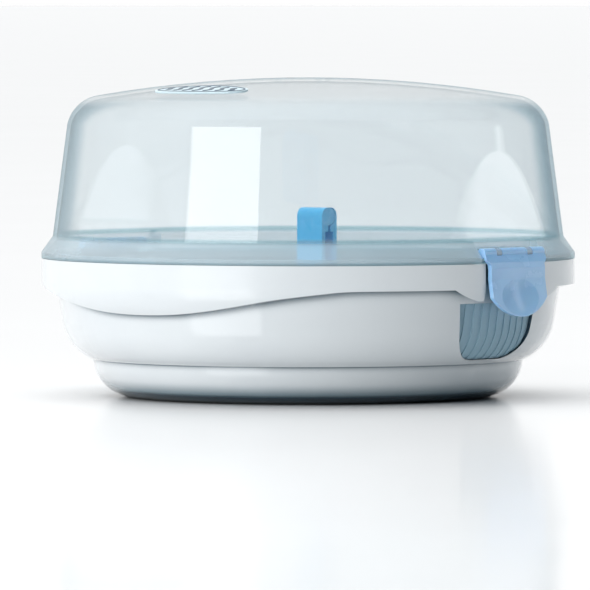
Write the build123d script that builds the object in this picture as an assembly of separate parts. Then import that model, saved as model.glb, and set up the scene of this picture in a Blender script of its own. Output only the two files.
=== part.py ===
"""Microwave steam steriliser for baby bottles.

A round white base bowl holds a little water. A bottle rack stands on a ledge inside it, with a pair
of tongs stored upright in the rack's hub. A clear domed lid closes the bowl, and two clips hinged on
the lid's flange hook under lugs on the bowl's rim. Two ribbed grips on the bowl stay cool to hold.

Frame: millimetres, +Z up, origin on the floor at the middle of the foot. The clips lie on the X axis.
"""

from build123d import *
from math import atan2, cos, degrees, pi, radians, sin, sqrt, tan
import os

# ---------------------------------------------------------------- driving dimensions (mm)
RIM_R = 140.0          # outside radius of the bowl's rim and of the lid's flange
RIM_Z = 72.5           # top face of the bowl's rim
HEIGHT = 167.0         # top of the lid
REST_GAP = 0.3         # gap between pieces that rest on each other or slide past each other

# bowl
BOWL_WALL = 2.5        # wall thickness
RIM_WIDTH = 6.0        # from the bowl's inner wall line out to the rim's outside
BAND_Z = 60.5          # where the upright band under the rim ends and turns in
BAND_FOOT_R = 132.3    # radius that the band has drawn in to at the wave's low point
WALL_DRAFT = 9.0       # degrees that the belly's wall leans outwards
BULGE_R = 25.7         # radius of the belly
BULGE_TOP_Z = 39.2     # where the belly meets the leaning wall
STEP_Z = 20.0          # underside of the step between belly and foot tier
TIER_OUT_R = 112.9     # outside radius of the foot tier
TIER_ROUND = 20.5      # its rounding
FOOT_IN_R = 84.0       # inside radius of the foot ring
FOOT_H = 1.5           # height of the foot ring
LEDGE_Z = 22.4         # top of the ledge that carries the rack

# wavy lower edge of the band, seen along Y
WAVE_LOW_Z = 46.2      # at the middle
WAVE_HIGH_Z = 59.4     # on its level shoulders
WAVE_LAG = 1.15        # above 1, the rise starts later than a plain cosine's
WAVE_SHOULDER_X = 115.0
CHEEK_X = 136.0        # where it has dropped again, beside each clip
CHEEK_Z = 53.4
CHEEK_SLOPE = 2.5      # length of the drop
WAVE_KNOTS = 6         # knots on each side of the middle

# clips and what they hook under
CLIP_W = 44.0
CLIP_FLARE = 2.5       # how far each side flares out towards the hinge
CLIP_FLARE_H = 8.5     # height of the wide part below the hinge's top
CLIP_SIDE_GAP = 1.2    # beside the clip
CLIP_T = 2.4
CLIP_PROUD = 1.0       # how far the clip stands out of the rim
CLIP_KICK = 3.0        # how far the thumb tab turns out
CLIP_LOW_Z = 45.0      # lowest point of the thumb tab
CLIP_SIDE_Z = 55.0     # where the tab's round end starts
CATCH_DEPTH = 6.5      # height of the catch under the rim's top
CATCH_IN = 3.4         # how far the catch stands in from the rim's outside
HOOK_H = 4.2
HOOK_BITE = 1.8        # how far the hook reaches under the catch
HOOK_W = 34.0
THUMB_W = 30.0         # thumb dish
THUMB_H = 19.0
THUMB_DEPTH = 1.2
THUMB_Z = 55.0

# clip hinge
PIN_R = 1.2
PIN_L = 47.0
PIN_RUN = 0.05         # running clearance of the pin in the lid's ears
PIN_FIT = 0.02         # clearance of the pin in the clip
PIN_IN = 3.9           # from the rim's outside in to the pin
PIN_UP = 5.3           # from the rim's top up to the pin
KNUCKLE_R = 2.7
EAR_W = 4.0
EAR_Y = 12.5
EAR_GAP = 0.4

# lid
LID_WALL = 2.0
FLANGE_H = 11.2        # from the lid's lower edge to the top of the flange
FLANGE_W = 6.0         # from the dome's wall out to the flange's edge
FLANGE_EDGE = 2.8      # height of the flange's upright edge
LIP_DROP = 4.0         # how far the inner lip hangs into the bowl
LIP_GAP = 0.5          # between lip and bowl
LIP_T = 2.0
SILL_T = 1.6           # thickness of the sill that closes the bowl beside each clip
FACET_X = 128.0        # flat face over each clip, from the middle
WALL_TOP_R = 126.3     # radius of the wall where its rounding starts
SHOULDER_Z = 143.0
ROOF_EDGE_Z = 157.6    # height of the roof at its edge
ROOF_EDGE_R = 110.5
VENT_R = 1.5
VENT_RING_R = 16.0
VENTS = 3

# emblem on the roof
EMBLEM_Y = -86.0
EMBLEM_L = 60.0
EMBLEM_B = 24.0
EMBLEM_T = 0.9
EMBLEM_SINK = 0.3

# grips
GRIP_TOP_HALF = 31.0
GRIP_LOW_HALF = 27.0
GRIP_TOP_Z = 52.0
GRIP_LOW_Z = 22.3
GRIP_ROUND = 18.0
GRIP_DEPTH = 3.2       # depth of the pocket in the bowl
GRIP_SKIN = 1.2
GRIP_RIB_DEPTH = 1.4   # how far the ribs' tops lie inside the bowl's surface
GRIP_GAP = 0.15
RIB_W = 3.4
RIB_PITCH = 6.0

# rack
RACK_R = 112.4
RACK_T = 2.5
RACK_RIM_H = 9.0
RACK_RIM_T = 2.0
POSTS = 6
POST_RING_R = 68.0
POST_H = 17.0
POST_W = 34.0
POST_TOP_W = 24.0
POST_T = 2.2
PEG_RING_R = 94.0
PEG_H = 15.0
PEG_R = 4.2
PEG_TIP_R = 2.4
SLOT_L = 16.0
SLOT_W = 5.0
SLOT_RING_R = 99.0
DRAIN_R = 4.0
HUB_H = 34.0
HUB_WALL = 2.2
FINGER_L = 20.0

# tongs
TONGS_X = 6.0          # their place on the rack
TONGS_W = 17.0         # along X
TONGS_T = 12.0         # over both arms, along Y
TONGS_ARM_T = 2.6
TONGS_TOP_Z = 99.0
TONGS_HEAD_H = 12.6
TONGS_CENTRE_W = 8.0   # width of the moving arm's knuckle
TONGS_GAP = 0.35
TONGS_SWING_GAP = 0.9  # half the gap between the arms' shoulders, room for the squeeze
TONGS_PIN_R = 1.5
TONGS_FOOT_GAP = 0.6   # under the arms' tips, room for them to swing
TONGS_KNUCKLE_R = 4.6
SOCKET_GAP = 0.9       # around the tongs in their socket
TOOTH = 0.9
TEETH = 4
TOOTH_PITCH = 3.2

# ---------------------------------------------------------------- derived places
SLOPE = tan(radians(WALL_DRAFT))
WALL_RIM_R = RIM_R - RIM_WIDTH
BULGE_END_R = WALL_RIM_R - (RIM_Z - BOWL_WALL - BULGE_TOP_Z) * SLOPE
BULGE_C = (
    BULGE_END_R - BULGE_R * cos(radians(WALL_DRAFT)),
    BULGE_TOP_Z + BULGE_R * sin(radians(WALL_DRAFT)),
)
TIER_C = (TIER_OUT_R - TIER_ROUND, TIER_ROUND)
FLOOR_Z = FOOT_H + BOWL_WALL
LID_Z = RIM_Z + REST_GAP
FLANGE_TOP_Z = LID_Z + FLANGE_H
WALL_FOOT_R = RIM_R - FLANGE_W
CLIP_TOP_W = CLIP_W + 2 * CLIP_FLARE
BOWL_WINDOW = CLIP_W / 2 + CLIP_SIDE_GAP
LID_WINDOW = CLIP_TOP_W / 2 + CLIP_SIDE_GAP
CATCH_X = RIM_R - CATCH_IN
PIN_X = RIM_R - PIN_IN
PIN_Z = RIM_Z + PIN_UP
CLIP_X = RIM_R + CLIP_PROUD
CLIP_IN_X = CLIP_X - CLIP_T
BIG = 4 * RIM_R        # larger than the object, for cutting tools


# ---------------------------------------------------------------- small helpers
def wall_r(z):
    """Outside radius of the belly's leaning wall at height z."""
    return BULGE_END_R + (z - BULGE_TOP_Z) * SLOPE


def revolved(*edges):
    """Solid of revolution about Z of a closed outline drawn as (radius, height)."""
    face = make_face(Plane.XZ * Curve(edges))
    return revolve(face, Axis.Z, 360)


def outline(points):
    """Closed polygon."""
    return Polyline(*points, close=True)


def ring(r_in, r_out, z_low, z_high):
    """Flat ring."""
    return revolved(outline([(r_in, z_low), (r_out, z_low), (r_out, z_high), (r_in, z_high)]))


def block(x0, x1, y0, y1, z0, z1):
    """Box between two corners."""
    return Pos((x0 + x1) / 2, (y0 + y1) / 2, (z0 + z1) / 2) * Box(x1 - x0, y1 - y0, z1 - z0)


def along_y(x, z, r, y0, y1):
    """Round bar along Y."""
    return Pos(x, (y0 + y1) / 2, z) * Rot(90, 0, 0) * Cylinder(r, y1 - y0)


def prism_y(edges, y0, y1):
    """Solid of an outline drawn as (x, z), from y0 to y1."""
    face = make_face(Plane.XZ * Curve(edges))
    return Pos(0, y0, 0) * extrude(face, amount=y1 - y0, dir=(0, 1, 0))


def prism_x(edges, x0, x1):
    """Solid of an outline drawn as (y, z), from x0 to x1."""
    face = make_face(Plane.YZ * Curve(edges))
    return Pos(x0, 0, 0) * extrude(face, amount=x1 - x0, dir=(1, 0, 0))


def on_circle(centre, radius, z):
    """Radius from the Z axis of a round profile at height z, on its outer side."""
    return centre[0] + sqrt(radius**2 - (z - centre[1]) ** 2)


def both_sides(solid):
    """The solid and its copy half a turn round."""
    return solid + Rot(0, 0, 180) * solid


# ---------------------------------------------------------------- bowl
def belly_edges(inset, low_z, top_z):
    """Edges of the belly and its leaning wall between two heights, moved in by inset."""
    lean = radians(WALL_DRAFT)
    radius = BULGE_R - inset
    foot = (on_circle(BULGE_C, radius, low_z), low_z)
    end = (BULGE_C[0] + radius * cos(lean), BULGE_C[1] - radius * sin(lean))
    middle_z = (low_z + end[1]) / 2
    middle = (on_circle(BULGE_C, radius, middle_z), middle_z)
    top = (wall_r(top_z) - inset / cos(lean), top_z)
    return foot, top, [ThreePointArc(foot, middle, end), Line(end, top)]


def tier_edges(inset, low_z, high_z):
    """Arc of the foot tier between two heights, moved in by inset, and its two ends."""
    radius = TIER_ROUND - inset
    low = (on_circle(TIER_C, radius, low_z), low_z)
    high = (on_circle(TIER_C, radius, high_z), high_z)
    middle_z = (low_z + high_z) / 2
    middle = (on_circle(TIER_C, radius, middle_z), middle_z)
    return low, high, [ThreePointArc(low, middle, high)]


def bowl_filled():
    """Outside of the bowl without its band."""
    foot, top, belly = belly_edges(0, STEP_Z, RIM_Z)
    low, high, tier = tier_edges(0, 0, STEP_Z)
    solid = revolved(*tier, Line(high, foot), *belly, Polyline(top, (0, RIM_Z), (0, 0), low))
    return solid - Pos(0, 0, FOOT_H / 2) * Cylinder(FOOT_IN_R, FOOT_H)


def bowl_hollow():
    """Inside of the bowl without its band: floor, ledge, belly."""
    foot, top, belly = belly_edges(BOWL_WALL, LEDGE_Z, RIM_Z + 1)
    low, high, tier = tier_edges(BOWL_WALL, FLOOR_Z, TIER_ROUND)
    return revolved(
        *tier,
        Polyline(high, (high[0], LEDGE_Z), foot),
        *belly,
        Polyline(top, (0, RIM_Z + 1), (0, FLOOR_Z), low),
    )


def band_filled(inset):
    """Upright band under the rim, drawn in below, moved in by inset and cut off along the wave."""
    top_z = RIM_Z + (1 if inset else 0)
    upright = Line((RIM_R - inset, top_z), (RIM_R - inset, BAND_Z))
    foot = (BAND_FOOT_R - inset, WAVE_LOW_Z - 1)
    turn = TangentArc((RIM_R - inset, BAND_Z), foot, tangent=(0, -1))
    solid = revolved(upright, turn, Polyline(foot, (0, foot[1]), (0, top_z), (RIM_R - inset, top_z)))
    return solid - below_wave(inset)


def wave_z(x):
    """Height of the wave at x, from its low middle up to its level shoulders."""
    share = (abs(x) / WAVE_SHOULDER_X) ** WAVE_LAG
    return WAVE_LOW_Z + (WAVE_HIGH_Z - WAVE_LOW_Z) * (1 - cos(pi * share)) / 2


def below_wave(up):
    """Everything under the wave, moved up."""
    reach = [WAVE_SHOULDER_X * i / WAVE_KNOTS for i in range(-WAVE_KNOTS, WAVE_KNOTS + 1)]
    wave = Spline(*[(x, wave_z(x) + up) for x in reach], tangents=[(1, 0), (1, 0)])
    shoulder = WAVE_HIGH_Z + up
    cheek = CHEEK_Z + up
    slope_x = CHEEK_X - CHEEK_SLOPE
    ends = Polyline(
        (WAVE_SHOULDER_X, shoulder),
        (slope_x, shoulder),
        (CHEEK_X, cheek),
        (BIG / 2, cheek),
        (BIG / 2, 0),
        (-BIG / 2, 0),
        (-BIG / 2, cheek),
        (-CHEEK_X, cheek),
        (-slope_x, shoulder),
        (-WAVE_SHOULDER_X, shoulder),
    )
    return prism_y([wave, ends], -BIG / 2, BIG / 2)


def window(half, x_in, z_low, z_high):
    """Blocks at both ends of the X axis, from x_in outwards."""
    return both_sides(block(x_in, BIG / 2, -half, half, z_low, z_high))


def grip_shape(grow):
    """Arch, round side down, seen along X, at the +X end."""
    face = make_face(
        Plane.YZ
        * outline(
            [
                (-GRIP_TOP_HALF - grow, GRIP_TOP_Z + grow),
                (GRIP_TOP_HALF + grow, GRIP_TOP_Z + grow),
                (GRIP_LOW_HALF + grow, GRIP_LOW_Z - grow),
                (-GRIP_LOW_HALF - grow, GRIP_LOW_Z - grow),
            ]
        )
    )
    low_corners = face.vertices().sort_by(Axis.Z)[:2]
    return extrude(fillet(low_corners, GRIP_ROUND + grow), amount=BIG / 2, dir=(1, 0, 0))


def belly_body(shift):
    """Body whose outside is the belly's, moved straight in towards Z by shift."""
    foot, top, belly = belly_edges(0, STEP_Z + BOWL_WALL / 4, GRIP_TOP_Z + 8)
    middle = RIM_R / 2
    rest = Polyline(top, (middle + shift, top[1]), (middle + shift, foot[1]), foot)
    face = make_face(Pos(-shift, 0, 0) * Plane.XZ * Curve([*belly, rest]))
    return revolve(face, Axis.Z, 360)


def belly_skin(outer_shift, inner_shift):
    """Shell that follows the belly's outside, between two distances measured straight in towards Z."""
    return belly_body(outer_shift) - belly_body(inner_shift)


def make_base():
    outside = bowl_filled() + (band_filled(0) - window(BOWL_WINDOW, 0, 0, RIM_Z - CATCH_DEPTH))
    outside = outside - window(BOWL_WINDOW, CATCH_X, 0, RIM_Z + 1)
    inside = bowl_hollow() + (band_filled(BOWL_WALL) - window(BOWL_WINDOW + BOWL_WALL, 0, 0, BIG))
    lining = belly_skin(BOWL_WALL / 2, GRIP_DEPTH + BOWL_WALL) & grip_shape(BOWL_WALL)
    pocket = belly_skin(-BOWL_WALL, GRIP_DEPTH) & grip_shape(0)
    bowl = outside - inside
    return bowl + both_sides(lining) - both_sides(pocket)


def make_grip():
    """Soft grip in the pocket of the bowl at +X, with upright ribs."""
    skin = belly_skin(GRIP_DEPTH - GRIP_SKIN, GRIP_DEPTH - 0.02)
    ribs = belly_skin(GRIP_RIB_DEPTH, GRIP_DEPTH - GRIP_SKIN / 2)
    count = int((GRIP_TOP_HALF - RIB_W) / RIB_PITCH)
    bars = Compound(
        [
            block(0, BIG / 2, i * RIB_PITCH - RIB_W / 2, i * RIB_PITCH + RIB_W / 2, 0, BIG / 4)
            for i in range(-count, count + 1)
        ]
    )
    return (skin + (ribs & bars)) & grip_shape(-GRIP_GAP)


# ---------------------------------------------------------------- lid
def roof_z(r, drop):
    """Height of the roof at radius r, lowered by drop."""
    sag = HEIGHT - ROOF_EDGE_Z
    radius = (ROOF_EDGE_R**2 + sag**2) / (2 * sag)
    return HEIGHT - radius + sqrt((radius - drop) ** 2 - r**2)


def dome(inset, low_z):
    """Dome filled down to low_z, moved in by inset, flat over each clip."""
    foot = (WALL_FOOT_R - inset, low_z)
    knee = (WALL_FOOT_R - inset, FLANGE_TOP_Z)
    wall_top = (WALL_TOP_R - inset, SHOULDER_Z)
    edge_r = ROOF_EDGE_R - inset * 0.5
    edge = (edge_r, roof_z(edge_r, inset))
    apex = (0, HEIGHT - inset)
    roof = ThreePointArc(apex, (edge_r / 2, roof_z(edge_r / 2, inset)), edge)
    shoulder = TangentArc(edge, wall_top, tangent=roof % 1)
    solid = revolved(roof, shoulder, Polyline(wall_top, knee, foot, (0, low_z), apex))
    reach = FACET_X - inset
    return solid & block(-reach, reach, -BIG / 2, BIG / 2, 0, BIG)


def flange(inset):
    """Flange, sloping in to the dome's wall, moved in by inset and open where the clips hang."""
    edge = RIM_R - inset
    low_z = LID_Z - (1 if inset else 0)
    top_z = FLANGE_TOP_Z - inset
    solid = revolved(
        outline(
            [
                (0, low_z),
                (edge, low_z),
                (edge, LID_Z + FLANGE_EDGE),
                (WALL_FOOT_R - inset, top_z),
                (0, top_z),
            ]
        )
    )
    return solid - window(LID_WINDOW + inset, FACET_X - inset, 0, BIG)


def lip():
    """Lip that hangs into the bowl and centres the lid."""
    outer = RIM_R - BOWL_WALL - LIP_GAP
    hanging = ring(outer - LIP_T, outer, RIM_Z - LIP_DROP, LID_Z + FLANGE_EDGE)
    return hanging - window(LID_WINDOW + LID_WALL, 0, 0, BIG)


def sill():
    """Flat sill at +X, from the dome's flat face out over the bowl's catch."""
    half = LID_WINDOW + LID_WALL
    out = block(FACET_X - LID_WALL, CATCH_X - 0.5, -half, half, LID_Z, LID_Z + SILL_T)
    return out & Pos(0, 0, LID_Z) * Cylinder(RIM_R - LID_WALL, 4 * SILL_T)


def ears():
    """Two ears on the sill, at +X, that hold the clip's pin."""
    made = []
    for side in (-1, 1):
        lo, hi = side * EAR_Y - EAR_W / 2, side * EAR_Y + EAR_W / 2
        web = block(FACET_X - LID_WALL / 2, PIN_X, lo, hi, LID_Z + SILL_T / 2, PIN_Z + KNUCKLE_R)
        foot = block(PIN_X - 1, PIN_X + KNUCKLE_R * 0.5, lo, hi, LID_Z + SILL_T / 2, PIN_Z)
        rooted = foot & along_y(PIN_X, PIN_Z, KNUCKLE_R * 1.6, lo, hi)
        made.append(web + rooted + along_y(PIN_X, PIN_Z, KNUCKLE_R, lo, hi))
    return made[0] + made[1]


def roof_layer(top_drop, low_drop):
    """Layer of the roof between two depths below its surface."""
    reach = ROOF_EDGE_R
    stops = (0, reach / 2, reach)
    tops = [(r, roof_z(r, top_drop)) for r in stops]
    lows = [(r, roof_z(r, low_drop)) for r in stops]
    return revolved(
        ThreePointArc(*tops),
        Line(tops[2], lows[2]),
        ThreePointArc(*reversed(lows)),
        Line(lows[0], tops[0]),
    )


def emblem_column(gap):
    """Upright oval column at the emblem's place."""
    column = extrude(Ellipse(EMBLEM_L / 2 - gap, EMBLEM_B / 2 - gap), amount=2 * HEIGHT)
    return Pos(0, EMBLEM_Y, 0) * column


def make_lid():
    body = dome(0, LID_Z) + flange(0)
    body = body - (dome(LID_WALL, LID_Z - 1) + flange(LID_WALL))
    body = body + lip() + both_sides(sill()) + both_sides(ears())
    body = body - both_sides(along_y(PIN_X, PIN_Z, PIN_R + PIN_RUN, -CLIP_TOP_W / 2, CLIP_TOP_W / 2))
    for i in range(VENTS):
        angle = radians(90 + 360 * i / VENTS)
        hole = Cylinder(VENT_R, 4 * LID_WALL)
        body = body - Pos(VENT_RING_R * cos(angle), VENT_RING_R * sin(angle), HEIGHT - LID_WALL) * hole
    return body - (emblem_column(0) & roof_layer(-EMBLEM_T, EMBLEM_SINK))


def make_emblem():
    return emblem_column(0.05) & roof_layer(EMBLEM_SINK - EMBLEM_T, EMBLEM_SINK - 0.02)


# ---------------------------------------------------------------- clips
def tab_outline(half, top_half):
    """Clip seen along X: wide along the hinge, straight sides and a round lower end."""
    top_z = PIN_Z + KNUCKLE_R
    flare_z = top_z - CLIP_FLARE_H
    sides = Polyline(
        (half, CLIP_SIDE_Z),
        (half, flare_z),
        (top_half, flare_z + (top_half - half)),
        (top_half, top_z + 1),
        (-top_half, top_z + 1),
        (-top_half, flare_z + (top_half - half)),
        (-half, flare_z),
        (-half, CLIP_SIDE_Z),
    )
    return [sides, ThreePointArc((-half, CLIP_SIDE_Z), (0, CLIP_LOW_Z), (half, CLIP_SIDE_Z))]


def make_clip():
    """Clip at +X: knuckles on the pin, a face that follows the flange, a hook and a thumb tab."""
    shoulder_z = LID_Z + FLANGE_EDGE - 4.0
    kick_z = THUMB_Z + THUMB_H / 2
    face = prism_y(
        [
            Polyline(
                (PIN_X, PIN_Z),
                (PIN_X + KNUCKLE_R * 0.60, PIN_Z + KNUCKLE_R * 0.80),
                (CLIP_X - 0.6, shoulder_z + 1.5),
                (CLIP_X, shoulder_z - 1.5),
                (CLIP_X, kick_z),
                (CLIP_X + CLIP_KICK, CLIP_LOW_Z),
                (CLIP_IN_X + CLIP_KICK, CLIP_LOW_Z),
                (CLIP_IN_X, kick_z),
                (CLIP_IN_X, shoulder_z - 2.5),
                (PIN_X + KNUCKLE_R * 0.65, PIN_Z - KNUCKLE_R * 0.76),
                close=True,
            )
        ],
        -CLIP_TOP_W / 2,
        CLIP_TOP_W / 2,
    )
    knuckle = along_y(PIN_X, PIN_Z, KNUCKLE_R, -CLIP_TOP_W / 2, CLIP_TOP_W / 2)
    hook_top = RIM_Z - CATCH_DEPTH - REST_GAP
    hook_tip = CATCH_X - HOOK_BITE
    hook = prism_y(
        [
            Polyline(
                (CLIP_IN_X + 0.9, hook_top),
                (hook_tip + 0.5, hook_top),
                (hook_tip, hook_top - 0.5),
                (hook_tip, hook_top - HOOK_H * 0.45),
                (CLIP_IN_X + 0.9, hook_top - HOOK_H - 1.5),
                close=True,
            )
        ],
        -HOOK_W / 2,
        HOOK_W / 2,
    )
    clip = ((face + knuckle) & prism_x(tab_outline(CLIP_W / 2, CLIP_TOP_W / 2), 0, BIG / 2)) + hook
    slot = EAR_W / 2 + EAR_GAP
    room = KNUCKLE_R + EAR_GAP
    for side in (-1, 1):
        lo, hi = side * EAR_Y - slot, side * EAR_Y + slot
        clip = clip - along_y(PIN_X, PIN_Z, room, lo, hi)
        clip = clip - block(PIN_X - BIG / 8, PIN_X, lo, hi, PIN_Z - room, PIN_Z + room)
    clip = clip - along_y(PIN_X, PIN_Z, PIN_R + PIN_FIT, -PIN_L / 2 - 0.2, PIN_L / 2 + 0.2)
    dish_r = ((THUMB_W / 2) ** 2 + THUMB_DEPTH**2) / (2 * THUMB_DEPTH)
    dish = Pos(dish_r - THUMB_DEPTH, 0, 0) * scale(Sphere(dish_r), by=(1, 1, THUMB_H / THUMB_W))
    kick_share = (kick_z - THUMB_Z) / (kick_z - CLIP_LOW_Z)
    lean = degrees(atan2(CLIP_KICK, kick_z - CLIP_LOW_Z))
    return clip - Pos(CLIP_X + CLIP_KICK * kick_share, 0, THUMB_Z) * Rot(0, -lean, 0) * dish


def make_clip_pin():
    return along_y(PIN_X, PIN_Z, PIN_R, -PIN_L / 2, PIN_L / 2)


# ---------------------------------------------------------------- rack
RACK_Z = LEDGE_Z + REST_GAP
RACK_TOP_Z = RACK_Z + RACK_T


def socket_box(extra, z0, z1):
    """Upright column round the stored tongs."""
    half_x = TONGS_W / 2 + extra
    half_y = TONGS_T / 2 + extra
    return block(TONGS_X - half_x, TONGS_X + half_x, -half_y, half_y, z0, z1)


def bottle_post():
    """Four fins that a bottle's mouth goes over."""
    fin = prism_y(
        [
            Polyline(
                (-POST_W / 2, RACK_TOP_Z - 0.5),
                (POST_W / 2, RACK_TOP_Z - 0.5),
                (POST_W / 2, RACK_TOP_Z + POST_H * 0.4),
                (POST_TOP_W / 2, RACK_TOP_Z + POST_H),
                (-POST_TOP_W / 2, RACK_TOP_Z + POST_H),
                (-POST_W / 2, RACK_TOP_Z + POST_H * 0.4),
                close=True,
            )
        ],
        -POST_T / 2,
        POST_T / 2,
    )
    return fin + Rot(0, 0, 90) * fin


def make_rack():
    plate = Pos(0, 0, (RACK_Z + RACK_TOP_Z) / 2) * Cylinder(RACK_R, RACK_T)
    rim = ring(RACK_R - RACK_RIM_T, RACK_R, RACK_Z, RACK_Z + RACK_RIM_H)
    rack = plate + rim
    hub_top = RACK_TOP_Z + HUB_H
    hub = socket_box(SOCKET_GAP + HUB_WALL, RACK_Z, hub_top)
    back_x = TONGS_X - TONGS_W / 2 - SOCKET_GAP - HUB_WALL
    finger = block(back_x - FINGER_L, back_x + 0.5, -HUB_WALL, HUB_WALL, RACK_Z, hub_top - 8)
    finger = finger + block(back_x - FINGER_L, back_x + 0.5, -9, 9, hub_top - 11, hub_top - 8)
    rack = rack + hub + finger
    slot_hole = extrude(SlotOverall(SLOT_L, SLOT_W), amount=3 * RACK_T)
    for i in range(POSTS):
        angle = 360 * i / POSTS + 30
        place = Rot(0, 0, angle) * Pos(POST_RING_R, 0, 0)
        rack = rack + place * Rot(0, 0, 45) * bottle_post()
        peg = Cone(PEG_R, PEG_TIP_R, PEG_H)
        rack = rack + Rot(0, 0, angle + 30) * Pos(PEG_RING_R, 0, RACK_TOP_Z - 0.5 + PEG_H / 2) * peg
        for turn in (angle - 12, angle, angle + 12):
            rack = rack - Rot(0, 0, turn) * Pos(SLOT_RING_R, 0, RACK_Z - RACK_T) * slot_hole
        for quarter in range(4):
            hole = Pos(11, 0, RACK_Z - RACK_T) * extrude(Circle(DRAIN_R), amount=3 * RACK_T)
            rack = rack - place * Rot(0, 0, 90 * quarter) * hole
    rack = rack - socket_box(SOCKET_GAP, RACK_TOP_Z, hub_top + 1)
    return rack - Pos(TONGS_X, 0, RACK_Z) * Cylinder(DRAIN_R, 4 * RACK_T)


# ---------------------------------------------------------------- tongs
TONGS_PIN_Z = TONGS_TOP_Z - TONGS_KNUCKLE_R
TONGS_TIP_Z = RACK_TOP_Z + TONGS_FOOT_GAP
HEAD_LOW_Z = TONGS_TOP_Z - TONGS_HEAD_H


def in_socket(solid):
    """Moves a piece of the tongs, drawn about the YZ plane, into its stored place."""
    return Pos(TONGS_X, 0, 0) * Rot(0, 0, 90) * solid


def tongs_arm(side):
    """One arm's blade and shoulder, without knuckle. side is -1 or 1."""
    outer = side * TONGS_T / 2
    inner = outer - side * TONGS_ARM_T
    half = TONGS_W / 2
    blade = block(min(outer, inner), max(outer, inner), -half, half, TONGS_TIP_Z, TONGS_PIN_Z)
    for i in range(TEETH):
        blade = blade + along_y(inner, TONGS_TIP_Z + 2 + i * TOOTH_PITCH, TOOTH, -half, half)
    lo, hi = sorted((outer, side * TONGS_SWING_GAP))
    shoulder = block(lo, hi, -half, half, HEAD_LOW_Z, TONGS_PIN_Z)
    knuckle_x = outer - side * TONGS_KNUCKLE_R
    return blade + shoulder + along_y(knuckle_x, TONGS_PIN_Z, TONGS_KNUCKLE_R, -half, half)


def make_tongs_fixed_arm():
    half = TONGS_CENTRE_W / 2 + TONGS_GAP
    room = TONGS_KNUCKLE_R + TONGS_GAP
    moving_side = block(TONGS_GAP, TONGS_T, -TONGS_W, TONGS_W, 0, TONGS_TOP_Z + 1)
    arm = tongs_arm(-1) - moving_side + along_y(0, TONGS_PIN_Z, TONGS_KNUCKLE_R, -TONGS_W / 2, TONGS_W / 2)
    arm = arm - along_y(0, TONGS_PIN_Z, room, -half, half)
    return in_socket(arm - along_y(0, TONGS_PIN_Z, TONGS_PIN_R + PIN_FIT, -TONGS_W, TONGS_W))


def make_tongs_moving_arm():
    half = TONGS_CENTRE_W / 2
    room = TONGS_KNUCKLE_R + TONGS_GAP
    fixed_side = block(-TONGS_T, TONGS_GAP, -TONGS_W, TONGS_W, 0, TONGS_TOP_Z + 1)
    arm = tongs_arm(1) - fixed_side
    for lo, hi in ((-TONGS_W, -half), (half, TONGS_W)):
        arm = arm - along_y(0, TONGS_PIN_Z, room, lo, hi)
    arm = arm + along_y(0, TONGS_PIN_Z, TONGS_KNUCKLE_R, -half, half)
    return in_socket(arm - along_y(0, TONGS_PIN_Z, TONGS_PIN_R + PIN_RUN, -TONGS_W, TONGS_W))


def make_tongs_pin():
    return in_socket(along_y(0, TONGS_PIN_Z, TONGS_PIN_R, -TONGS_W / 2, TONGS_W / 2))


# ---------------------------------------------------------------- assembly
def main():
    os.makedirs("parts", exist_ok=True)
    half_turn = Rot(0, 0, 180)
    nodes = {
        "base_bowl": make_base(),
        "grip_right": make_grip(),
        "grip_left": half_turn * make_grip(),
        "lid_dome": make_lid(),
        "lid_emblem": make_emblem(),
        "clip_right": make_clip(),
        "clip_left": half_turn * make_clip(),
        "clip_pin_right": make_clip_pin(),
        "clip_pin_left": half_turn * make_clip_pin(),
        "bottle_rack": make_rack(),
        "tongs_fixed_arm": make_tongs_fixed_arm(),
        "tongs_moving_arm": make_tongs_moving_arm(),
        "tongs_pin": make_tongs_pin(),
    }
    for name, shape in nodes.items():
        export_step(shape, f"parts/{name}.step")


main()
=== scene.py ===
"""Bottle steriliser: materials, small visual details, stage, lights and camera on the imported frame."""

import math

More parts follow.
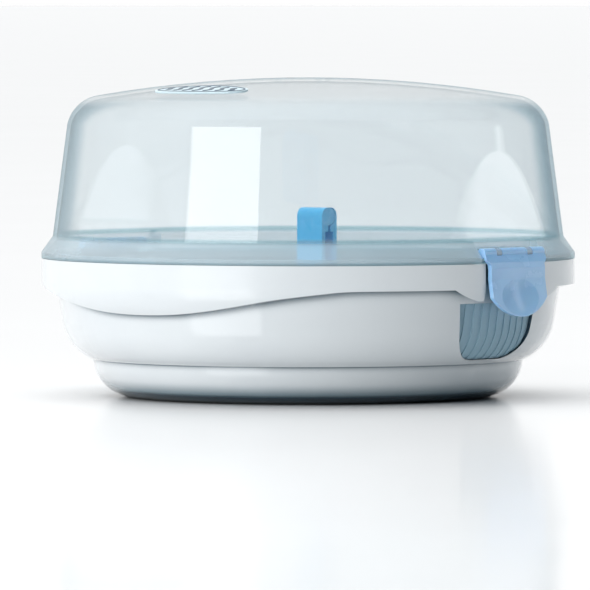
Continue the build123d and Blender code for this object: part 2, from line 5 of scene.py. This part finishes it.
import bmesh
import bpy
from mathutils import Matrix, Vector


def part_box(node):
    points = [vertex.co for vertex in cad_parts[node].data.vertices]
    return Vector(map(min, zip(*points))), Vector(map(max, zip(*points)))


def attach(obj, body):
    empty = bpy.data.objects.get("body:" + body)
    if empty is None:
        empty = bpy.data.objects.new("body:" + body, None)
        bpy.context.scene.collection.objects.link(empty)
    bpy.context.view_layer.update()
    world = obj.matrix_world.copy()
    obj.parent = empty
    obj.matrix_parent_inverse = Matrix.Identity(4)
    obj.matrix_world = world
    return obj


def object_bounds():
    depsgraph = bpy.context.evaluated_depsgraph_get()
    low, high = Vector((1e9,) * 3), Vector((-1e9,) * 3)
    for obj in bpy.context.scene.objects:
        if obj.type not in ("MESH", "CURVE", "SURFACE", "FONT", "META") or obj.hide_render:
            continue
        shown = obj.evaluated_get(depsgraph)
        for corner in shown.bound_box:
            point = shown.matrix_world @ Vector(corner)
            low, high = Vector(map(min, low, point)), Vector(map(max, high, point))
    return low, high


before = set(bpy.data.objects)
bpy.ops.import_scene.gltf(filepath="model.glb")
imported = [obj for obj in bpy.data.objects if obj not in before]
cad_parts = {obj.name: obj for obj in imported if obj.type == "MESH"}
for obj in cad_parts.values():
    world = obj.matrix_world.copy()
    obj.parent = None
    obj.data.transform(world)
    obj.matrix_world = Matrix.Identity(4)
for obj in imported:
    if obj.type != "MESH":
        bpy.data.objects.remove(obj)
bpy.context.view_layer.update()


# ------------------------------------------------------------------ node helpers
class Shader:
    """A node tree with short calls for adding and linking nodes."""

    def __init__(self, name):
        self.material = bpy.data.materials.new(name)
        self.material.use_nodes = True
        self.tree = self.material.node_tree
        self.tree.nodes.clear()
        self.out = self.add("ShaderNodeOutputMaterial")

    def add(self, kind, **values):
        node = self.tree.nodes.new(kind)
        for key, value in values.items():
            setattr(node, key, value)
        return node

    def link(self, source, target):
        self.tree.links.new(source, target)

    def noise(self, scale, detail=3.0):
        place = self.add("ShaderNodeTexCoord")
        noise = self.add("ShaderNodeTexNoise")
        noise.inputs["Scale"].default_value = scale
        noise.inputs["Detail"].default_value = detail
        self.link(place.outputs["Object"], noise.inputs["Vector"])
        return noise.outputs["Fac"]

    def ramp(self, factor, stops):
        ramp = self.add("ShaderNodeValToRGB")
        while len(ramp.color_ramp.elements) < len(stops):
            ramp.color_ramp.elements.new(0.5)
        for element, (position, colour) in zip(ramp.color_ramp.elements, stops):
            element.position = position
            element.color = (*colour, 1.0)
        self.link(factor, ramp.inputs["Fac"])
        return ramp.outputs["Color"]

    def spread(self, factor, low, high):
        spread = self.add("ShaderNodeMapRange")
        spread.inputs["From Min"].default_value = 0.3
        spread.inputs["From Max"].default_value = 0.7
        spread.inputs["To Min"].default_value = low
        spread.inputs["To Max"].default_value = high
        self.link(factor, spread.inputs["Value"])
        return spread.outputs["Result"]

    def bump(self, height, strength, distance):
        bump = self.add("ShaderNodeBump")
        bump.inputs["Strength"].default_value = strength
        bump.inputs["Distance"].default_value = distance
        self.link(height, bump.inputs["Height"])
        return bump.outputs["Normal"]


NO_SHADE_WHITE = (1.0, 1.0, 1.0)
DRIFT_SCALE = 14.0       # noise scale of the plastics' slight colour drift
GLOSS_SCALE = 70.0


def plastic(name, dark, light, rough=(0.2, 0.3), grain=900.0, grain_depth=0.00004, coat=0.0,
            subsurface=0.0, specular=0.5, crease_shade_reach=0.0):
    """Moulded plastic or rubber with slight colour drift, uneven gloss and a fine moulded grain; a crease
    reach above zero multiplies painted shade into creases and under steps through ambient occlusion.
    """
    s = Shader(name)
    body = s.add("ShaderNodeBsdfPrincipled")
    colour = s.ramp(s.noise(DRIFT_SCALE, 4.0), [(0.35, dark), (0.65, light)])
    # Painted shade: two ambient occlusion ramps darken the colour in creases and under steps, such as the
    # shadow line under the bowl's band.
    crease_shade_passes = (
        (crease_shade_reach, 0.35, 0.80, (0.30, 0.39, 0.43)),
        (crease_shade_reach * 0.4, 0.55, 0.92, (0.08, 0.15, 0.20)),
    )
    for reach, shut_at, open_at, depth in crease_shade_passes if crease_shade_reach else ():
        shut = s.add("ShaderNodeAmbientOcclusion", samples=12)
        shut.inputs["Distance"].default_value = reach
        # Painted shade colour where the surface is occluded, plain white where it is open.
        painted_crease_shade = s.ramp(shut.outputs["AO"], [(shut_at, depth), (open_at, NO_SHADE_WHITE)])
        blend = s.add("ShaderNodeMix", data_type="RGBA", blend_type="MULTIPLY")
        blend.inputs[0].default_value = 1.0
        s.link(colour, blend.inputs[6])
        s.link(painted_crease_shade, blend.inputs[7])
        colour = blend.outputs[2]
    s.link(colour, body.inputs["Base Color"])
    s.link(s.spread(s.noise(GLOSS_SCALE, 5.0), *rough), body.inputs["Roughness"])
    s.link(s.bump(s.noise(grain, 2.0), 0.25, grain_depth), body.inputs["Normal"])
    body.inputs["Coat Weight"].default_value = coat
    body.inputs["Coat Roughness"].default_value = 0.06
    body.inputs["Subsurface Weight"].default_value = subsurface
    body.inputs["Subsurface Scale"].default_value = 0.004
    body.inputs["Specular IOR Level"].default_value = specular
    s.link(body.outputs["BSDF"], s.out.inputs["Surface"])
    return s.material


def clear_plastic(name, face_tint, edge_tint, seam_tint, levels, haze=0.04, flange_haze=0.30):
    """Clear moulded plastic: nearly colourless seen square on, deeper blue-green along its edges.

    levels holds the heights of the lid's lower edge, the flange's top and the roof's edge.
    """
    low_z, flange_z, roof_z = levels
    s = Shader(name)
    place = s.add("ShaderNodeTexCoord")
    height = s.add("ShaderNodeSeparateXYZ")
    s.link(place.outputs["Object"], height.inputs["Vector"])

    def step(start, end, before, after):
        step = s.add("ShaderNodeMapRange", interpolation_type="SMOOTHSTEP")
        step.inputs["From Min"].default_value = start
        step.inputs["From Max"].default_value = end
        step.inputs["To Min"].default_value = before
        step.inputs["To Max"].default_value = after
        s.link(height.outputs["Z"], step.inputs["Value"])
        return step.outputs["Result"]

    def mixed(factor, one, two):
        mix = s.add("ShaderNodeMix", data_type="RGBA")
        s.link(factor, mix.inputs[0])
        for socket, value in ((mix.inputs[6], one), (mix.inputs[7], two)):
            if isinstance(value, tuple):
                socket.default_value = (*value, 1.0)
            else:
                s.link(value, socket)
        return mix.outputs[2]

    facing = s.add("ShaderNodeLayerWeight")
    facing.inputs["Blend"].default_value = 0.5
    wall = s.ramp(facing.outputs["Facing"], [(0.0, face_tint), (0.62, face_tint), (1.0, edge_tint)])
    roof = s.ramp(facing.outputs["Facing"], [(0.0, face_tint), (0.93, face_tint), (0.985, edge_tint)])
    tint = mixed(step(roof_z - 0.007, roof_z - 0.001, 0.0, 1.0), wall, roof)
    tint = mixed(step(low_z + 0.0010, low_z + 0.0016, 1.0, 0.0), tint, seam_tint)
    rim = s.add("ShaderNodeMath", operation="MULTIPLY")
    s.link(step(flange_z - 0.0016, flange_z - 0.0008, 0.0, 0.55), rim.inputs[0])
    s.link(step(flange_z + 0.0006, flange_z + 0.0020, 1.0, 0.0), rim.inputs[1])
    tint = mixed(rim.outputs["Value"], tint, seam_tint)
    through = s.add("ShaderNodeBsdfTransparent")
    s.link(tint, through.inputs["Color"])
    cloud = s.add("ShaderNodeBsdfPrincipled")
    milky = s.ramp(s.noise(10.0, 4.0), [(0.3, (0.70, 0.83, 0.90)), (0.7, (0.78, 0.90, 0.96))])
    s.link(milky, cloud.inputs["Base Color"])
    cloud.inputs["Roughness"].default_value = 0.5
    milk = s.add("ShaderNodeMixShader")
    s.link(step(flange_z - 0.002, flange_z + 0.003, flange_haze, haze), milk.inputs["Fac"])
    s.link(through.outputs["BSDF"], milk.inputs[1])
    s.link(cloud.outputs["BSDF"], milk.inputs[2])
    shine = s.add("ShaderNodeBsdfGlossy")
    s.link(s.spread(s.noise(60.0, 4.0), 0.015, 0.05), shine.inputs["Roughness"])
    s.link(s.bump(s.noise(9.0, 2.0), 0.35, 0.0006), shine.inputs["Normal"])
    rise = s.add("ShaderNodeMath", operation="POWER")
    rise.inputs[1].default_value = 3.5
    s.link(facing.outputs["Facing"], rise.inputs[0])
    weight = s.add("ShaderNodeMapRange")
    weight.inputs["To Min"].default_value = 0.035
    weight.inputs["To Max"].default_value = 0.5
    s.link(rise.outputs["Value"], weight.inputs["Value"])
    mix = s.add("ShaderNodeMixShader")
    s.link(weight.outputs["Result"], mix.inputs["Fac"])
    s.link(milk.outputs["Shader"], mix.inputs[1])
    s.link(shine.outputs["BSDF"], mix.inputs[2])
    s.link(mix.outputs["Shader"], s.out.inputs["Surface"])
    return s.material


# ------------------------------------------------------------------ materials
FLANGE_H = 0.0115        # height of the lid's flange over the rim
ROOF_DROP = 0.0095       # how far the roof's edge lies under its top
# The bowl's crease reach of 14 mm paints shade into its creases and under its band's edge.
WHITE = plastic("bowl_white", (0.74, 0.78, 0.805), (0.77, 0.81, 0.83), rough=(0.14, 0.22), coat=0.8,
                grain=1400.0, grain_depth=0.00002, crease_shade_reach=0.014)
LID_LOW_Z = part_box("base_bowl")[1].z
LID_HIGH_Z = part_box("lid_dome")[1].z
CLEAR = clear_plastic("dome_clear", (0.965, 0.982, 0.988), (0.40, 0.58, 0.65), (0.42, 0.66, 0.70),
                      (LID_LOW_Z, LID_LOW_Z + FLANGE_H, LID_HIGH_Z - ROOF_DROP))
CLIP = plastic("clip_blue", (0.31, 0.57, 0.90), (0.38, 0.65, 0.97), rough=(0.2, 0.3), coat=0.5,
               subsurface=0.15)
GRIP = plastic("grip_soft", (0.30, 0.46, 0.56), (0.34, 0.51, 0.61), rough=(0.5, 0.68), grain=2600.0,
               grain_depth=0.00008, specular=0.35)
EMBLEM = plastic("emblem_plate", (0.62, 0.76, 0.82), (0.70, 0.83, 0.88), rough=(0.3, 0.42))
MARK = plastic("emblem_mark", (0.075, 0.12, 0.165), (0.11, 0.16, 0.21), rough=(0.35, 0.5))
PIN = plastic("pin_white", (0.55, 0.62, 0.68), (0.66, 0.72, 0.77), rough=(0.25, 0.35))
RACK = plastic("rack_white", (0.72, 0.79, 0.83), (0.80, 0.86, 0.89), rough=(0.25, 0.4), coat=0.2)
TONGS = plastic("tongs_blue", (0.04, 0.45, 0.80), (0.07, 0.52, 0.88), rough=(0.22, 0.34), coat=0.4,
                subsurface=0.08)

FINISH = {
    "base_bowl": WHITE,
    "lid_dome": CLEAR,
    "lid_emblem": EMBLEM,
    "clip_right": CLIP,
    "clip_left": CLIP,
    "clip_pin_right": PIN,
    "clip_pin_left": PIN,
    "grip_right": GRIP,
    "grip_left": GRIP,
    "bottle_rack": RACK,
    "tongs_fixed_arm": TONGS,
    "tongs_moving_arm": TONGS,
    "tongs_pin": TONGS,
}
for name, material in FINISH.items():
    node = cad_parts[name]
    if not node.material_slots:
        node.data.materials.append(material)
    for slot in node.material_slots:
        slot.material = material


# ------------------------------------------------------------------ emblem
ROOF_R = 0.654           # radius of the roof's arc
PLATE_PROUD = 0.0006
ROOF_TOP_Z = LID_HIGH_Z + PLATE_PROUD
STRIP_SINK = 0.0004
STRIP_PROUD = 0.00025
RING_W = 0.0009
RING_INSET = 0.0018
STEAM_W = 0.0026
STEAM_SWAY = 0.0016
STEAM_STEP = 0.235       # share of the plate's half length from one line to the next
STEAM_TALL = 0.62        # share of its half breadth that the middle line reaches
STEAM_SHRINK = 0.035


def on_roof(x, y, lift):
    """Point on the emblem's plate at (x, y), raised by lift; the plate follows the roof's arc."""
    away = math.hypot(x, y)
    return Vector((x, y, ROOF_TOP_Z - ROOF_R + math.sqrt(ROOF_R**2 - away**2) + lift))


def ribbon(name, points, width, closed=False):
    """Thin raised strip along points on the emblem's plate."""
    bm = bmesh.new()
    count = len(points)
    rows = []
    section = ((-1, -STRIP_SINK), (-0.8, STRIP_PROUD), (0.8, STRIP_PROUD), (1, -STRIP_SINK))
    for i, (x, y) in enumerate(points):
        before = points[i - 1] if closed or i else points[i]
        after = points[(i + 1) % count] if closed or i < count - 1 else points[i]
        along = Vector((after[0] - before[0], after[1] - before[1])).normalized()
        across = Vector((-along.y, along.x)) * (width / 2)
        rows.append(
            [
                bm.verts.new(on_roof(x + side * across.x, y + side * across.y, lift))
                for side, lift in section
            ]
        )
    for i in range(count if closed else count - 1):
        one, two = rows[i], rows[(i + 1) % count]
        for j in range(3):
            bm.faces.new((one[j], two[j], two[j + 1], one[j + 1]))
    if not closed:
        bm.faces.new(rows[0])
        bm.faces.new(reversed(rows[-1]))
    bmesh.ops.recalc_face_normals(bm, faces=bm.faces)
    mesh = bpy.data.meshes.new(name)
    bm.to_mesh(mesh)
    bm.free()
    mesh.materials.append(MARK)
    piece = bpy.data.objects.new(name, mesh)
    bpy.context.collection.objects.link(piece)
    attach(piece, "lid")
    return piece


plate_low, plate_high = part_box("lid_emblem")
plate = (plate_low + plate_high) / 2
half_l = (plate_high.x - plate_low.x) / 2
half_b = (plate_high.y - plate_low.y) / 2
oval = [
    (plate.x + (half_l - RING_INSET) * math.cos(t), plate.y + (half_b - RING_INSET) * math.sin(t))
    for t in (2 * math.pi * i / 96 for i in range(96))
]
ribbon("emblem_ring", oval, RING_W, closed=True)
WAVES = 7
for k in range(WAVES):
    off = k - (WAVES - 1) / 2
    x = plate.x + off * half_l * STEAM_STEP
    tall = half_b * (STEAM_TALL - STEAM_SHRINK * abs(off) ** 2)
    wave = [
        (x + STEAM_SWAY * math.sin(2 * math.pi * t), plate.y + tall * (2 * t - 1))
        for t in (i / 24 for i in range(25))
    ]
    ribbon(f"emblem_steam_{k + 1}", wave, STEAM_W)

# ------------------------------------------------------------------ stage
FLOOR_R = 150.0
FLOOR_DROP = 0.0002      # clear of the foot, so that the two don't share a plane
lo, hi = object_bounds()
centre = (lo + hi) / 2

floor_shader = Shader("floor_white")
matt = floor_shader.add("ShaderNodeBsdfDiffuse")
pale = floor_shader.ramp(floor_shader.noise(3.0), [(0.3, (0.94, 0.94, 0.94)), (0.7, (0.955, 0.955, 0.955))])
floor_shader.link(pale, matt.inputs["Color"])
sheen = floor_shader.add("ShaderNodeBsdfGlossy")
floor_shader.link(floor_shader.spread(floor_shader.noise(20.0), 0.10, 0.13), sheen.inputs["Roughness"])
both = floor_shader.add("ShaderNodeMixShader")
both.inputs["Fac"].default_value = 0.45
floor_shader.link(matt.outputs["BSDF"], both.inputs[1])
floor_shader.link(sheen.outputs["BSDF"], both.inputs[2])
floor_shader.link(both.outputs["Shader"], floor_shader.out.inputs["Surface"])

mesh = bpy.data.meshes.new("floor")
bm = bmesh.new()
bmesh.ops.create_circle(bm, cap_ends=True, segments=64, radius=FLOOR_R)
bm.to_mesh(mesh)
bm.free()
floor = bpy.data.objects.new("floor", mesh)
bpy.context.collection.objects.link(floor)
mesh.materials.append(floor_shader.material)
floor.location = (0, 0, lo.z - FLOOR_DROP)

# ------------------------------------------------------------------ camera
AZIMUTH = math.radians(40.0)
ELEVATION = math.radians(2.1)
VIEW_SHARE = 1.10694     # width of the view over the rim's width
AIM_UP = 0.316           # share of the height that the view is centred on
AIM_LEFT = 0.0246        # share of the rim's width that the view is moved left
level = math.cos(ELEVATION)
to_viewer = Vector((math.sin(AZIMUTH) * level, -math.cos(AZIMUTH) * level, math.sin(ELEVATION)))
to_right = Vector((math.cos(AZIMUTH), math.sin(AZIMUTH), 0.0))
camera_data = bpy.data.cameras.new("camera")
camera_data.lens = 500.0
camera_data.sensor_width = 36.0
camera = bpy.data.objects.new("camera", camera_data)
bpy.context.collection.objects.link(camera)
bowl_low, bowl_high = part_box("base_bowl")
rim_width = bowl_high.y - bowl_low.y
view_width = rim_width * VIEW_SHARE
target = Vector((0, 0, hi.z * AIM_UP)) - to_right * (rim_width * AIM_LEFT)
camera.location = target + to_viewer * (view_width * camera_data.lens / camera_data.sensor_width)
camera.rotation_mode = "QUATERNION"
camera.rotation_quaternion = (-to_viewer).to_track_quat("-Z", "Y")
camera_data.clip_end = 400.0
bpy.context.scene.camera = camera


# ------------------------------------------------------------------ light
def area_light(name, place, size, power):
    """Rectangular softbox at place, aimed at the object's middle."""
    data = bpy.data.lights.new(name, "AREA")
    data.shape = "RECTANGLE"
    data.size, data.size_y = size
    data.energy = power
    lamp = bpy.data.objects.new(name, data)
    bpy.context.collection.objects.link(lamp)
    lamp.location = place
    lamp.rotation_mode = "QUATERNION"
    lamp.rotation_quaternion = (place - centre).to_track_quat("Z", "Y")


sun_data = bpy.data.lights.new("overhead", "SUN")
sun_data.energy = 2.05
sun_data.angle = math.radians(70.0)
sun = bpy.data.objects.new("overhead", sun_data)
bpy.context.collection.objects.link(sun)
sun.visible_glossy = False
side_place = centre + to_right * 1.48 - to_viewer * 0.26 + Vector((0, 0, 0.22))
area_light("softbox_side", side_place, (0.16, 0.6), 0.45)
left_place = centre - to_right * 0.91 + to_viewer * 1.14 + Vector((0, 0, 0.28))
area_light("softbox_left", left_place, (0.87, 0.74), 8.4)

# The surroundings darken towards the viewer's right, which shades that side of the bowl.
world = bpy.data.worlds.new("studio")
world.use_nodes = True
bpy.context.scene.world = world
tree = world.node_tree
tree.nodes.clear()
out = tree.nodes.new("ShaderNodeOutputWorld")
sky = tree.nodes.new("ShaderNodeBackground")
tree.links.new(sky.outputs["Background"], out.inputs["Surface"])
where = tree.nodes.new("ShaderNodeTexCoord")
side = tree.nodes.new("ShaderNodeVectorMath")
side.operation = "DOT_PRODUCT"
dark_way = (to_right * 0.8 + to_viewer * 0.6).normalized()
side.inputs[1].default_value = dark_way
tree.links.new(where.outputs["Generated"], side.inputs[0])
turn = tree.nodes.new("ShaderNodeMapRange")
turn.inputs["From Min"].default_value = -1.0
turn.inputs["From Max"].default_value = 1.0
tree.links.new(side.outputs["Value"], turn.inputs["Value"])
shade = tree.nodes.new("ShaderNodeValToRGB")
shade.color_ramp.elements[0].position = 0.27
shade.color_ramp.elements[0].color = (1.0, 1.0, 1.0, 1)
shade.color_ramp.elements[1].position = 0.82
shade.color_ramp.elements[1].color = (0.02, 0.04, 0.055, 1)
middle = shade.color_ramp.elements.new(0.48)
middle.color = (0.46, 0.50, 0.53, 1)
tree.links.new(turn.outputs["Result"], shade.inputs["Fac"])
tree.links.new(shade.outputs["Color"], sky.inputs["Color"])
sky.inputs["Strength"].default_value = 1.0

scene = bpy.context.scene
scene.view_settings.view_transform = "Standard"
scene.view_settings.look = "None"
scene.view_settings.exposure = 0.0
scene.view_settings.gamma = 1.0
